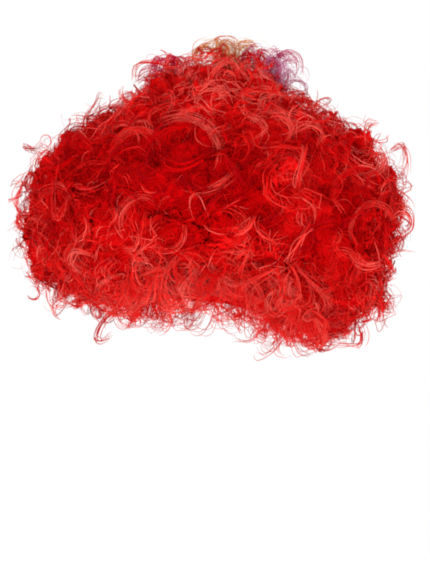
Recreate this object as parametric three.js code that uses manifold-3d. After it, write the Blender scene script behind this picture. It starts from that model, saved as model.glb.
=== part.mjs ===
// Curly afro wig: a stretch net cap with an elastic edge band, and a deep mass of curled locks that stands
// out from it all round, mostly red, with a gold, a lilac and a magenta tuft rooted at the crown.
// Millimetres, +Z up, the wearer faces -Y. The origin is the inside of the cap's crown, on top of the head.
import * as THREE from "three";
import { ParametricGeometry } from "three/addons/geometries/ParametricGeometry.js";
import { mergeVertices } from "three/addons/utils/BufferGeometryUtils.js";
import Module from "manifold-3d";

const wasm = await Module();
wasm.setup();

// Driving dimensions of the head hollow, the cap and its band
const HEAD = { halfBreadth: 78, halfLength: 98, domeHeight: 100 };
const CAP_EDGE = { front: 84, left: 114, right: 114, back: 117 };
const CAP_WALL = 1.5;
const BAND = { height: 14, inward: 0.9 };
const GAP = 0.5;
const HAIR_GAP = 1.2;

// Outline of the hair from the top down: height over the crown, and reach to the sides, front and back
const OUTLINE = [
  { height: 122, side: 0, front: 0, back: 0 },
  { height: 112, side: 46, front: 48, back: 50 },
  { height: 86, side: 87, front: 84, back: 88 },
  { height: 56, side: 138, front: 116, back: 126 },
  { height: 20, side: 180, front: 146, back: 166 },
  { height: -20, side: 205, front: 168, back: 192 },
  { height: -64, side: 203, front: 172, back: 194 },
  { height: -106, side: 192, front: 160, back: 183 },
  { height: -138, side: 156, front: 137, back: 154 },
  { height: -150, side: 114, front: 119, back: 120 },
];
// Below this height the hair is drawn down to a different depth on each side
const DRAWN_BELOW = -40;
const HAIR_BOTTOM = { front: -126, left: -144, right: -184, back: -154 };
// The dense hair under the locks is the outline drawn in towards a point on the axis
const DENSE_HAIR = { share: 0.87, centreHeight: -60, undercut: 10 };

// Rows of locks from the crown down: place on the outline (0 top, 1 underside), locks in the row, radius of
// the curl, thickness of the lock and how much of a turn it makes
const LOCK_ROWS = [
  { place: 0.05, locks: 3, curl: 22, thickness: 26, turn: 0.65 },
  { place: 0.17, locks: 6, curl: 24, thickness: 29, turn: 0.7 },
  { place: 0.29, locks: 8, curl: 26, thickness: 32, turn: 0.7 },
  { place: 0.41, locks: 10, curl: 28, thickness: 34, turn: 0.7 },
  { place: 0.54, locks: 11, curl: 29, thickness: 35, turn: 0.7 },
  { place: 0.67, locks: 12, curl: 28, thickness: 34, turn: 0.7 },
  { place: 0.79, locks: 12, curl: 26, thickness: 31, turn: 0.65 },
  { place: 0.91, locks: 10, curl: 22, thickness: 27, turn: 0.6 },
];
// A lock starts rooted under the dense hair and winds closer and out of it. Some curls lie flat, others are
// tilted upright by these angles in turn, and sunk deeper.
const LOCK = { sides: 5, steps: 7, rooted: 6, sunk: 10, lift: 8, closing: 0.35, fullness: 0.5, tip: 0.7 };
const LOCK_TILTS = [8, 40, 20, 60];
// Successive locks are turned by this angle, so that no two neighbours lie alike
const GOLDEN_ANGLE = Math.PI * (3 - Math.sqrt(5));

// Coloured tufts: how far right of, behind and over the origin their stems end. The stems are rooted in the
// cap nearer to the crown, by a share of how far out they end.
const TUFTS = [
  { name: "gold_tuft", color: 0xb98a3a, right: 18, behind: 36, over: 130 },
  { name: "lilac_tuft", color: 0x9a5f96, right: 64, behind: 22, over: 120 },
  { name: "magenta_tuft", color: 0xa8184f, right: -54, behind: 32, over: 119 },
];
const TUFT_ROOT_SHARE = 0.6;
// Two curls leave each stem from a share of its height, starting a little within it. No red lock is centred
// nearer to a stem than the clearance.
const TUFT_LOCK = { stem: 26, curlsFrom: 0.8, within: 5, thickness: 17, curl: 14, turn: 0.8, clear: 28 };

// Finishes
const RED_FIBRE = new THREE.MeshStandardMaterial({ color: 0xbb1918, roughness: 0.55, metalness: 0 });
const CAP_NET = new THREE.MeshStandardMaterial({ color: 0x8a1214, roughness: 0.9, metalness: 0 });
const BAND_ELASTIC = new THREE.MeshStandardMaterial({ color: 0xa01618, roughness: 0.8, metalness: 0 });

// Mesh resolution
const ROUND = 32;
const WALL_STEPS = 8;
const MERGE_DISTANCE = 1e-4;
const NUDGE = 1e-3;

// A closed surface, given by a function of two shares from 0 to 1, as a solid
function closedSolid(place, around, along) {
  const surface = new ParametricGeometry((u, v, target) => target.copy(place(u, v)), around, along);
  surface.deleteAttribute("normal");
  surface.deleteAttribute("uv");
  const merged = mergeVertices(surface, MERGE_DISTANCE);
  const corners = merged.index.array;
  const triVerts = [];
  for (let i = 0; i < corners.length; i += 3) {
    const [a, b, c] = [corners[i], corners[i + 1], corners[i + 2]];
    if (a !== b && b !== c && c !== a) triVerts.push(a, b, c);
  }
  return new wasm.Manifold(
    new wasm.Mesh({
      numProp: 3,
      vertProperties: merged.attributes.position.array,
      triVerts: new Uint32Array(triVerts),
    }),
  );
}

// The outermost skin of a solid alone, so that specks of air shut in between its locks are filled
function outermost(solid) {
  return solid.decompose().sort((a, b) => b.volume() - a.volume())[0];
}

// A solid as a named mesh
function namedMesh(name, solid, material) {
  const { numProp, vertProperties, triVerts } = solid.getMesh();
  const count = vertProperties.length / numProp;
  const position = new Float32Array(count * 3);
  for (let i = 0; i < count; i++) position.set(vertProperties.subarray(i * numProp, i * numProp + 3), i * 3);
  const geometry = new THREE.BufferGeometry();
  geometry.setAttribute("position", new THREE.BufferAttribute(position, 3));
  geometry.setIndex(new THREE.BufferAttribute(triVerts, 1));
  geometry.computeVertexNormals();
  const mesh = new THREE.Mesh(geometry, material);
  mesh.name = name;
  return mesh;
}

// A value given at the front, left, right and back, carried smoothly round the head. Azimuth 0 is the right.
function roundTheHead({ front, left, right, back }, azimuth) {
  const mean = (front + left + right + back) / 4;
  const rightward = ((right - left) / 2) * Math.cos(azimuth);
  const backward = ((back - front) / 2) * Math.sin(azimuth);
  const sideways = ((right + left - front - back) / 4) * Math.cos(2 * azimuth);
  return mean + rightward + backward + sideways;
}

// A point of the head form, grown by an offset: a dome down to its widest level and upright below it
function headPoint(azimuth, depth, offset) {
  const fall = Math.min(depth / HEAD.domeHeight, 1);
  const breadth = Math.sqrt(1 - (1 - fall) ** 2);
  return new THREE.Vector3(
    (HEAD.halfBreadth + offset) * breadth * Math.cos(azimuth),
    (HEAD.halfLength + offset) * breadth * Math.sin(azimuth),
    offset * (1 - fall) - depth,
  );
}

// The depth that lies a share of the way down the head form, with close steps near the crown
function depthAt(share, deepest) {
  const { domeHeight } = HEAD;
  const quarter = Math.PI / 2;
  const reach = deepest / domeHeight;
  const swing = share * (reach < 1 ? Math.acos(1 - reach) : quarter + reach - 1);
  return swing < quarter ? domeHeight * (1 - Math.cos(swing)) : domeHeight * (1 + swing - quarter);
}

// A hollow dome from its inside, as a function of azimuth and share of the way down, and its outside alike
function hollowSolid(inside, outside) {
  const steps = 2 * WALL_STEPS + 1;
  return closedSolid(
    (u, v) => {
      const azimuth = u * 2 * Math.PI;
      const step = Math.round(v * steps);
      const within = step <= WALL_STEPS;
      return within ? inside(azimuth, step / WALL_STEPS) : outside(azimuth, (steps - step) / WALL_STEPS);
    },
    ROUND,
    steps,
  );
}

// Cap: a thin dome, open below, whose edge runs over the forehead, above the ears and down to the nape
function capSolid() {
  const depth = (azimuth, share) => depthAt(share, roundTheHead(CAP_EDGE, azimuth));
  return hollowSolid(
    (azimuth, share) => headPoint(azimuth, depth(azimuth, share), 0),
    (azimuth, share) => headPoint(azimuth, depth(azimuth, share), CAP_WALL),
  );
}

// Edge band: a strip of elastic that carries the cap on below its edge, flush outside and thicker inside
function bandSolid() {
  const section = [
    [GAP, -BAND.inward],
    [GAP + BAND.height, -BAND.inward],
    [GAP + BAND.height, CAP_WALL],
    [GAP, CAP_WALL],
  ];
  return closedSolid(
    (u, v) => {
      const azimuth = u * 2 * Math.PI;
      const [below, offset] = section[Math.round(v * section.length) % section.length];
      return headPoint(azimuth, roundTheHead(CAP_EDGE, azimuth) + below, offset);
    },
    ROUND,
    section.length,
  );
}

// Outline of the hair as smooth curves through the rows of its table
const reachCurve = new THREE.CatmullRomCurve3(OUTLINE.map((r) => new THREE.Vector3(r.side, r.front, r.back)));
const heightCurve = new THREE.SplineCurve(OUTLINE.map((r, i) => new THREE.Vector2(i, r.height)));
const lowestRow = OUTLINE[OUTLINE.length - 1].height;

function outlinePoint(azimuth, place) {
  const reach = reachCurve.getPoint(place);
  let height = heightCurve.getPoint(place).y;
  if (height < DRAWN_BELOW) {
    const bottom = roundTheHead(HAIR_BOTTOM, azimuth);
    height = DRAWN_BELOW + ((height - DRAWN_BELOW) * (bottom - DRAWN_BELOW)) / (lowestRow - DRAWN_BELOW);
  }
  const sine = Math.sin(azimuth);
  return new THREE.Vector3(reach.x * Math.cos(azimuth), (sine < 0 ? reach.y : reach.z) * sine, height);
}

// The outline drawn in to the dense hair
function densePoint(azimuth, place) {
  const centre = new THREE.Vector3(0, 0, DENSE_HAIR.centreHeight);
  return outlinePoint(azimuth, place).sub(centre).multiplyScalar(DENSE_HAIR.share).add(centre);
}

// Dense hair: the body of the wig, hollow where the head and the cap go
function denseHairSolid() {
  const deepest = (azimuth) => -densePoint(azimuth, 1).z - DENSE_HAIR.undercut;
  return hollowSolid(
    (azimuth, share) => headPoint(azimuth, depthAt(share, deepest(azimuth)), CAP_WALL + HAIR_GAP),
    densePoint,
  );
}

// A tapered lock along a curve, closed to a point at both ends
function lockSolid(curve, steps, thickness) {
  const frames = curve.computeFrenetFrames(steps, false);
  return closedSolid(
    (u, v) => {
      const step = Math.round(v * steps);
      const angle = u * 2 * Math.PI;
      const taper = 1 - (1 - LOCK.tip) * v;
      const radius = (thickness / 2) * taper * Math.sin(Math.PI * v) ** LOCK.fullness;
      const rim = step === 0 || step === steps ? 0 : radius;
      return curve
        .getPointAt(v)
        .addScaledVector(frames.normals[step], rim * Math.cos(angle))
        .addScaledVector(frames.binormals[step], rim * Math.sin(angle));
    },
    LOCK.sides,
    steps,
  );
}

// A curl that winds round a centre in the plane of two directions, closing in, and rises out of that plane
function curlCurve(centre, along, across, radius, turn) {
  const axis = new THREE.Vector3().crossVectors(along, across);
  const points = [];
  for (let i = 0; i <= LOCK.steps; i++) {
    const share = i / LOCK.steps;
    const angle = share * turn * 2 * Math.PI;
    const reach = radius * (1 - LOCK.closing * share);
    points.push(
      centre
        .clone()
        .addScaledVector(along, reach * Math.cos(angle))
        .addScaledVector(across, reach * Math.sin(angle))
        .addScaledVector(axis, LOCK.lift * share - LOCK.rooted * (1 - share)),
    );
  }
  return new THREE.CatmullRomCurve3(points);
}

// Outward direction of the dense hair and a direction that lies along it
function facing(azimuth, place) {
  const round = densePoint(azimuth + NUDGE, place).sub(densePoint(azimuth - NUDGE, place));
  const down = densePoint(azimuth, place + NUDGE).sub(densePoint(azimuth, place - NUDGE));
  return { outward: new THREE.Vector3().crossVectors(down, round).normalize(), along: round.normalize() };
}

// The rows of locks that stand out of the dense hair, apart from where a tuft comes through
function lockSolids() {
  const locks = [];
  const tuftLines = TUFTS.map((tuft) => new THREE.Line3(tuftRoot(tuft), tuftTop(tuft)));
  const nearest = new THREE.Vector3();
  let number = 0;
  for (const [level, row] of LOCK_ROWS.entries()) {
    for (let i = 0; i < row.locks; i++) {
      number += 1;
      const azimuth = ((i + (level % 2) / 2) / row.locks) * 2 * Math.PI;
      const centre = densePoint(azimuth, row.place);
      const fromTuft = (line) => line.closestPointToPoint(centre, true, nearest).distanceTo(centre);
      if (tuftLines.some((line) => fromTuft(line) < TUFT_LOCK.clear)) continue;
      const { outward, along } = facing(azimuth, row.place);
      along.applyAxisAngle(outward, number * GOLDEN_ANGLE);
      const tilt = THREE.MathUtils.degToRad(LOCK_TILTS[number % LOCK_TILTS.length]);
      const across = new THREE.Vector3().crossVectors(outward, along).applyAxisAngle(along, tilt);
      centre.addScaledVector(outward, -LOCK.sunk * Math.sin(tilt));
      locks.push(lockSolid(curlCurve(centre, along, across, row.curl, row.turn), LOCK.steps, row.thickness));
    }
  }
  return locks;
}

// The point just off the cap's outside where a tuft is rooted
function tuftRoot(tuft) {
  const offset = CAP_WALL + HAIR_GAP;
  const right = tuft.right * TUFT_ROOT_SHARE;
  const behind = tuft.behind * TUFT_ROOT_SHARE;
  const share = Math.hypot(right / (HEAD.halfBreadth + offset), behind / (HEAD.halfLength + offset));
  const height = (HEAD.domeHeight + offset) * Math.sqrt(1 - share ** 2) - HEAD.domeHeight;
  return new THREE.Vector3(right, behind, height);
}

function tuftTop(tuft) {
  return new THREE.Vector3(tuft.right, tuft.behind, tuft.over);
}

// A coloured tuft: a stem that rises from the cap through the dense hair, with a curl to either side on top
function tuftSolid(tuft, grow) {
  const root = tuftRoot(tuft);
  const top = tuftTop(tuft);
  const locks = [lockSolid(new THREE.LineCurve3(root, top), LOCK.steps, TUFT_LOCK.stem + grow)];
  const upward = new THREE.Vector3(0, 0, 1);
  for (const side of [-1, 1]) {
    const toStem = new THREE.Vector3(-side, 0, 0);
    const start = root.clone().lerp(top, TUFT_LOCK.curlsFrom);
    const centre = start.addScaledVector(toStem, TUFT_LOCK.within - TUFT_LOCK.curl);
    const curve = curlCurve(centre, toStem, upward, TUFT_LOCK.curl, TUFT_LOCK.turn);
    locks.push(lockSolid(curve, LOCK.steps, TUFT_LOCK.thickness + grow));
  }
  return outermost(wasm.Manifold.union(locks));
}

// The red hair is the dense hair with its locks, less a pocket round each tuft
function redHairSolid() {
  const whole = wasm.Manifold.union([denseHairSolid(), ...lockSolids()]);
  const pockets = wasm.Manifold.union(TUFTS.map((tuft) => tuftSolid(tuft, 2 * GAP)));
  return outermost(whole.subtract(pockets));
}

const wig = new THREE.Group();
wig.add(namedMesh("net_cap", capSolid(), CAP_NET));
wig.add(namedMesh("edge_band", bandSolid(), BAND_ELASTIC));
wig.add(namedMesh("red_hair", redHairSolid(), RED_FIBRE));
for (const tuft of TUFTS) {
  const dyed = new THREE.MeshStandardMaterial({ color: tuft.color, roughness: 0.55, metalness: 0 });
  wig.add(namedMesh(tuft.name, tuftSolid(tuft, 0), dyed));
}

export default wig;
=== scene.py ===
import math

import bmesh
import bpy
import numpy as np
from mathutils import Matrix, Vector
from mathutils.bvhtree import BVHTree
from mathutils.kdtree import KDTree


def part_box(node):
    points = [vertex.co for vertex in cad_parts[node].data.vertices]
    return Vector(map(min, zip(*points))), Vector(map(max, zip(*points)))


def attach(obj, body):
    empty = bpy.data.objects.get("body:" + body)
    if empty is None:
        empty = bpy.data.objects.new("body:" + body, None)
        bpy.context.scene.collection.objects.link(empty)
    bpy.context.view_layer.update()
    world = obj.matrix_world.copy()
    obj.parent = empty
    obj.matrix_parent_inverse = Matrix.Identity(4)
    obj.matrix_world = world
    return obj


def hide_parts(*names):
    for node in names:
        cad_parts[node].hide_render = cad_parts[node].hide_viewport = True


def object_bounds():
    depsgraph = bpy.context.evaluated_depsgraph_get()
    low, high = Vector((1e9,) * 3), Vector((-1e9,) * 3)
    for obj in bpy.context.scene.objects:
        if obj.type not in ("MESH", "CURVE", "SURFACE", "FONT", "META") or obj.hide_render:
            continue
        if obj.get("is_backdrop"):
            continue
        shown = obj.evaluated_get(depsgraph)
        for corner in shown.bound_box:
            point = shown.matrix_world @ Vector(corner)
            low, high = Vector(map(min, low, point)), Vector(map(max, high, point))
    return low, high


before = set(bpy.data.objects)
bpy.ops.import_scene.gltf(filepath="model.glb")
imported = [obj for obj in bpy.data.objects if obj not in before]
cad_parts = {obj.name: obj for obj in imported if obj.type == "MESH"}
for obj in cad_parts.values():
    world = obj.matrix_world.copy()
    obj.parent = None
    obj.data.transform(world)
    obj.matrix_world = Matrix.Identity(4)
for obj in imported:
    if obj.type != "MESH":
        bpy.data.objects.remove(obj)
cad_low, cad_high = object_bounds()


# Net cap
# The cap is a stretch net, knitted in one piece as a deep bowl that is open below. The hair is sewn to its
# outside in rows, and the rows of stitches show on its inside.
NET_SHADED = (0.110, 0.0020, 0.0026, 1)
NET_THREAD = (0.300, 0.0070, 0.0080, 1)
NET_ROUGHNESS = 0.85
NET_SHEEN = 0.25
NET_PITCH = 0.0042
NET_SHARPNESS = 3.0
NET_RELIEF = 0.0006
SEWN_ROW_PITCH = 0.013
SEWN_ROW_SHARPNESS = 12.0
CAP_GIRTH_RADIUS = 0.088


def feed(tree, socket, term):
    """Joins an output to an input socket, or sets the input to a value."""
    if isinstance(term, bpy.types.NodeSocket):
        tree.links.new(term, socket)
    else:
        socket.default_value = term


def new_node(tree, kind, terms=(), **settings):
    """A node with its settings, and with an output or a value for its inputs by name or number."""
    node = tree.nodes.new(kind)
    for name, value in settings.items():
        setattr(node, name, value)
    for name, term in dict(terms).items():
        feed(tree, node.inputs[name], term)
    return node


def calculate(tree, operation, *terms):
    """A Math node over sockets and numbers, as its output socket."""
    return new_node(tree, "ShaderNodeMath", dict(enumerate(terms)), operation=operation).outputs[0]


def mixed_colour(tree, share, first, second):
    """A mix of two colours, each a socket or four numbers, as its output socket."""
    return new_node(tree, "ShaderNodeMix", {0: share, 6: first, 7: second}, data_type="RGBA").outputs[2]


def new_finish(name, roughness, **sockets):
    """A material with one Principled BSDF, its tree and that shader."""
    material = bpy.data.materials.new(name)
    material.use_nodes = True
    tree = material.node_tree
    shader = tree.nodes["Principled BSDF"]
    shader.inputs["Roughness"].default_value = roughness
    for socket, value in sockets.items():
        shader.inputs[socket.replace("_", " ")].default_value = value
    return material, tree, shader


def coloured(tree, shader, share, dark, light, height, relief):
    """Gives a shader a mix of two colours, and a relief by a height."""
    feed(tree, shader.inputs["Base Color"], mixed_colour(tree, share, dark, light))
    bump = new_node(tree, "ShaderNodeBump", {"Strength": 1.0, "Distance": relief, "Height": height})
    feed(tree, shader.inputs["Normal"], bump.outputs["Normal"])


def new_group(name, inputs, outputs, kind="ShaderNodeTree"):
    """An empty node group with named sockets: the group, what it is given and what it puts out."""
    tree = bpy.data.node_groups.new(name, kind)
    for in_out, sockets in (("INPUT", inputs), ("OUTPUT", outputs)):
        for socket, socket_type in sockets.items():
            tree.interface.new_socket(socket, in_out=in_out, socket_type=socket_type)
    return tree, new_node(tree, "NodeGroupInput").outputs, new_node(tree, "NodeGroupOutput").inputs


def placed_group(tree, group, values):
    """A node group in a material, with a socket or a value for each of its inputs, as its output sockets."""
    return new_node(tree, "ShaderNodeGroup", values, node_tree=group).outputs


# Where a point lies on the cap: the way round it and the height, both in metres.
on_the_cap, given, put_out = new_group(
    "on_the_cap", {"Girth Radius": "NodeSocketFloat"}, dict.fromkeys(["Round", "Height"], "NodeSocketFloat")
)
cap_place = new_node(on_the_cap, "ShaderNodeTexCoord").outputs["Object"]
cap_parts = new_node(on_the_cap, "ShaderNodeSeparateXYZ", {0: cap_place}).outputs
cap_angle = calculate(on_the_cap, "ARCTAN2", cap_parts["Y"], cap_parts["X"])
on_the_cap.links.new(calculate(on_the_cap, "MULTIPLY", cap_angle, given["Girth Radius"]), put_out["Round"])
on_the_cap.links.new(cap_parts["Z"], put_out["Height"])

# A wave between 0 and 1 that repeats at a pitch along a length.
ripples, given, put_out = new_group(
    "ripples", {"Length": "NodeSocketFloat", "Pitch": "NodeSocketFloat"}, {"Wave": "NodeSocketFloat"}
)
pitches = calculate(ripples, "DIVIDE", given["Length"], given["Pitch"])
swing = calculate(ripples, "SINE", calculate(ripples, "MULTIPLY", pitches, 2 * math.pi))
ripples.links.new(calculate(ripples, "MULTIPLY_ADD", swing, 0.5, 0.5), put_out["Wave"])


def ripple(tree, length, pitch):
    return placed_group(tree, ripples, {"Length": length, "Pitch": pitch})["Wave"]


net_finish, net_tree, net_shader = new_finish("cap_net", NET_ROUGHNESS, Specular_IOR_Level=NET_SHEEN)
round_way, height_way = placed_group(net_tree, on_the_cap, {"Girth Radius": CAP_GIRTH_RADIUS})
rising = ripple(net_tree, calculate(net_tree, "ADD", round_way, height_way), NET_PITCH)
falling = ripple(net_tree, calculate(net_tree, "SUBTRACT", round_way, height_way), NET_PITCH)
net_threads = calculate(net_tree, "POWER", calculate(net_tree, "MAXIMUM", rising, falling), NET_SHARPNESS)
sewn_rows = calculate(net_tree, "POWER", ripple(net_tree, height_way, SEWN_ROW_PITCH), SEWN_ROW_SHARPNESS)
net_height = calculate(net_tree, "MAXIMUM", net_threads, sewn_rows)
# The net is lighter on its raised threads and rows and darker where its relief is low, as painted shade.
coloured(net_tree, net_shader, net_height, NET_SHADED, NET_THREAD, net_height, NET_RELIEF)
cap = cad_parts["net_cap"]
cap.material_slots[0].material = net_finish


# Edge band
# A flat strip of ribbed elastic is sewn on all round the cap's edge, higher at the front and lower at the
# back, and holds the wig on by its own pull.
ELASTIC_SHADED = (0.160, 0.0040, 0.0050, 1)
ELASTIC_LIGHT = (0.400, 0.0100, 0.0110, 1)
ELASTIC_ROUGHNESS = 0.75
ELASTIC_SHEEN = 0.3
ELASTIC_RIB_PITCH = 0.0016
ELASTIC_RELIEF = 0.0005

band_finish, band_tree, band_shader = new_finish(
    "band_elastic", ELASTIC_ROUGHNESS, Specular_IOR_Level=ELASTIC_SHEEN
)
round_way, height_way = placed_group(band_tree, on_the_cap, {"Girth Radius": CAP_GIRTH_RADIUS})
ribs = ripple(band_tree, round_way, ELASTIC_RIB_PITCH)
# The ribs are lighter on top and darker in the grooves between them, as painted shade.
coloured(band_tree, band_shader, ribs, ELASTIC_SHADED, ELASTIC_LIGHT, ribs, ELASTIC_RELIEF)
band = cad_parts["edge_band"]
band.material_slots[0].material = band_finish


# Dense red hair
# Under the loose curls the red fibre is so crowded that it makes one springy mass. Its surface is a felt of
# short crossing fibres. Its colour has painted light on the ridges and painted shade between the curls.
MASS_VOXEL = 0.0060
MASS_SMOOTHING = 7
SMOOTHING_FACTOR = 0.5
MASS_SHRINK = 0.0105
MASS_MIDDLE = (0.0, 0.0, -0.060)
MASS_ROUGH = 0.0020
DIP_FILL = 0.55
DIP_WIDTH = 0.034
DIP_CREST = 90
TUFT_PLUG_TOP = 0.078
RIDGE_SMOOTHING = 80
RIDGE_DEPTH = 0.006
RIDGE_SHADE = 1.5
# Broad places of painted light and painted shade, where the hair is lighter or darker than the rest.
SHADES = {
    "shaded front": {"at": (-0.028, -0.150, -0.006), "half": (0.074, 0.090, 0.031), "tone": -0.66},
    "lit crown": {"at": (0.010, -0.050, 0.094), "half": (0.056, 0.100, 0.040), "tone": 0.30},
    "lit side": {"at": (0.078, -0.140, -0.010), "half": (0.026, 0.090, 0.026), "tone": 0.12},
    "lit fringe": {"at": (0.010, -0.120, -0.105), "half": (0.100, 0.080, 0.022), "tone": 0.18},
    "shaded side": {"at": (0.112, -0.110, -0.056), "half": (0.034, 0.090, 0.026), "tone": -0.22},
}
CLUMP_LENGTHS = (0.022, 0.100)
CLUMP_WAVES = 50
# Clumps are lighter on top and darker between, as painted light and shade, and the mass is raised on them.
CLUMP_PAINTED_LIGHT = 0.11
CLUMP_RELIEF = 0.0042
WHORL_SCALE = 22.0
LOCKS_IN_WHORL = 9
FIBRES_IN_WHORL = 41
FIBRES_IN_FELT = 0.45
FELT_RELIEF = 0.003
CROWN_LEVEL = 0.096
CROWN_PRESSED = 0.65
CROWN_FULL = 0.7
FRINGE_LIFT = 0.015
FRINGE_HALF_WIDTH = 0.088
HOLLOW_HEIGHT = 0.1
# Where a change over the mass starts, and the length that it takes.
CROWN_RAMP = (0.075, 0.025)
FRINGE_FRONT_RAMP = (0.05, 0.04)
FRINGE_LOW_RAMP = (0.065, 0.045)
LINING_RAMP = (1.15, 0.2)
LINING_LIT_RAMP = (1.15, 0.15)
# The mass's colour runs from this painted shade, in dips and inside the hollow, to the lit colour on ridges.
MASS_SHADED = (0.445, 0.0003, 0.0010, 1)
MASS_LIT = (0.790, 0.0060, 0.0060, 1)
MASS_ROUGHNESS = 0.8
MASS_SHEEN = 0.02


def put_in_scene(name, data):
    thing = bpy.data.objects.new(name, data)
    bpy.context.scene.collection.objects.link(thing)
    return thing


def joined_copy(name, sources, limit):
    """One merged object from copies of several CAD nodes. A limit caps the height of all but the first."""
    together = bmesh.new()
    for number, node in enumerate(sources):
        start = len(together.verts)
        together.from_mesh(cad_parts[node].data)
        together.verts.ensure_lookup_table()
        if number:
            for vert in together.verts[start:]:
                vert.co.z = min(vert.co.z, limit)
    bmesh.ops.remove_doubles(together, verts=together.verts, dist=1e-6)
    mesh = bpy.data.meshes.new(name)
    together.to_mesh(mesh)
    together.free()
    return put_in_scene(name, mesh)


def add_smoothing(piece, iterations):
    smooth = piece.modifiers.new("smooth", "SMOOTH")
    smooth.factor = SMOOTHING_FACTOR
    smooth.iterations = iterations


def apply_modifiers(piece):
    """Gives a piece the mesh that its modifiers make."""
    graph = bpy.context.evaluated_depsgraph_get()
    mesh = bpy.data.meshes.new_from_object(piece.evaluated_get(graph))
    piece.modifiers.clear()
    old = piece.data
    piece.data = mesh
    bpy.data.meshes.remove(old)
    mesh.name = piece.name


def read_points(mesh, column):
    """A column of a mesh's points, such as their places, as an array."""
    values = np.empty(len(mesh.vertices) * 3)
    mesh.vertices.foreach_get(column, values)
    return values.reshape(-1, 3)


def unit(vectors):
    return vectors / np.maximum(np.linalg.norm(vectors, axis=-1, keepdims=True), 1e-9)


def ramp(values, start, length):
    """How far values are along a length from a start, from 0 to 1."""
    return np.clip((values - start) / length, 0, 1)


mass = joined_copy("dense_hair", ["red_hair", "gold_tuft", "lilac_tuft", "magenta_tuft"], TUFT_PLUG_TOP)
remesh = mass.modifiers.new("felt", "REMESH")
remesh.mode = "VOXEL"
remesh.voxel_size = MASS_VOXEL
remesh.use_smooth_shade = True
add_smoothing(mass, MASS_SMOOTHING)
apply_modifiers(mass)

mass_finish, mass_tree, mass_shader = new_finish(
    "dense_red_fibre", MASS_ROUGHNESS, Specular_IOR_Level=MASS_SHEEN
)
mass_place = new_node(mass_tree, "ShaderNodeTexCoord").outputs["Object"]
whorl_terms = {"Vector": mass_place, "Scale": WHORL_SCALE, "Detail": 1.0, "Roughness": 0.4}
whorls = new_node(mass_tree, "ShaderNodeTexNoise", whorl_terms).outputs["Fac"]
lock_lines = ripple(mass_tree, whorls, 1 / LOCKS_IN_WHORL)
fibre_lines = ripple(mass_tree, whorls, 1 / FIBRES_IN_WHORL)
lock_felt = calculate(mass_tree, "MULTIPLY", lock_lines, 1 - FIBRES_IN_FELT)
felt = calculate(mass_tree, "MULTIPLY_ADD", fibre_lines, FIBRES_IN_FELT, lock_felt)
# Painted light and painted shade: lighter on raised fibre lines and by the points' painted light share.
painted_light = new_node(mass_tree, "ShaderNodeAttribute", attribute_name="painted_light").outputs["Fac"]
lit = calculate(mass_tree, "MULTIPLY", felt, painted_light)
coloured(mass_tree, mass_shader, lit, MASS_SHADED, MASS_LIT, felt, FELT_RELIEF)
mass.data.materials.clear()
mass.data.materials.append(mass_finish)

mass_count = len(mass.data.vertices)
mass_places = read_points(mass.data, "co")
mass_normals = read_points(mass.data, "normal")
cap_size = Vector(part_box("net_cap")[1]) - Vector(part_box("net_cap")[0])

clump_draws = np.random.default_rng(10915)
clump_ways = unit(clump_draws.normal(size=(CLUMP_WAVES, 3)))
clump_ways *= 2 * math.pi / clump_draws.uniform(*CLUMP_LENGTHS, (CLUMP_WAVES, 1))
clump_phases = clump_draws.uniform(0, 2 * math.pi, CLUMP_WAVES)


def beyond_hollow(places):
    """How far places lie from the middle of the cap's hollow, where 1 is the cap."""
    level = np.maximum(places[:, 2] + HOLLOW_HEIGHT, 0) / HOLLOW_HEIGHT
    return np.sqrt((places[:, 0] / (cap_size.x / 2)) ** 2 + (places[:, 1] / (cap_size.y / 2)) ** 2 + level**2)


def clump_at(places):
    """How far a place is on a clump of curls, above 0, or between clumps, below 0."""
    return np.sin(places @ clump_ways.T + clump_phases).sum(axis=1) / math.sqrt(CLUMP_WAVES / 2)


def painted_light_and_shade_at(places):
    """Painted light and shade: lighter on clumps of curls, darker between them, and the broad ones."""
    shade = CLUMP_PAINTED_LIGHT * clump_at(places)
    for spot in SHADES.values():
        shade += spot["tone"] * np.exp(-(((places - spot["at"]) / spot["half"]) ** 2).sum(axis=1))
    return shade


# How far each point stands out of the hair round it.
even = mass.copy()
even.data = mass.data.copy()
bpy.context.scene.collection.objects.link(even)
add_smoothing(even, RIDGE_SMOOTHING)
even_places = read_points(even.evaluated_get(bpy.context.evaluated_depsgraph_get()).data, "co")
bpy.data.objects.remove(even)
ridges_and_painted_light = ((mass_places - even_places) * mass_normals).sum(axis=1)
ridges_and_painted_light -= np.median(ridges_and_painted_light)

# The mass is drawn in to leave room for the fibres, and its wide dips are filled.
outside = ramp(beyond_hollow(mass_places), *LINING_RAMP)
mass_draws = np.random.default_rng(3)
roughness = mass_draws.normal(0, MASS_ROUGH, mass_count)
from_middle = mass_places - MASS_MIDDLE
reaches = np.linalg.norm(from_middle, axis=1)
neighbours = KDTree(mass_count)
for number, place in enumerate(mass_places):
    neighbours.insert(place, number)
neighbours.balance()
around = [[found[1] for found in neighbours.find_range(place, DIP_WIDTH)] for place in mass_places]
crests = np.array([np.percentile(reaches[near], DIP_CREST) for near in around])
crests = np.array([crests[near].mean() for near in around])
filled = DIP_FILL * np.maximum(crests - reaches, 0) * (mass_normals * unit(from_middle)).sum(axis=1).clip(0)
at_crown = ramp(mass_places[:, 2], *CROWN_RAMP)
relief = roughness + CLUMP_RELIEF * clump_at(mass_places) - MASS_SHRINK * (1 - CROWN_FULL * at_crown)
mass_places += mass_normals * (outside * relief)[:, None]
mass_places += unit(from_middle) * (outside * filled)[:, None]

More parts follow.
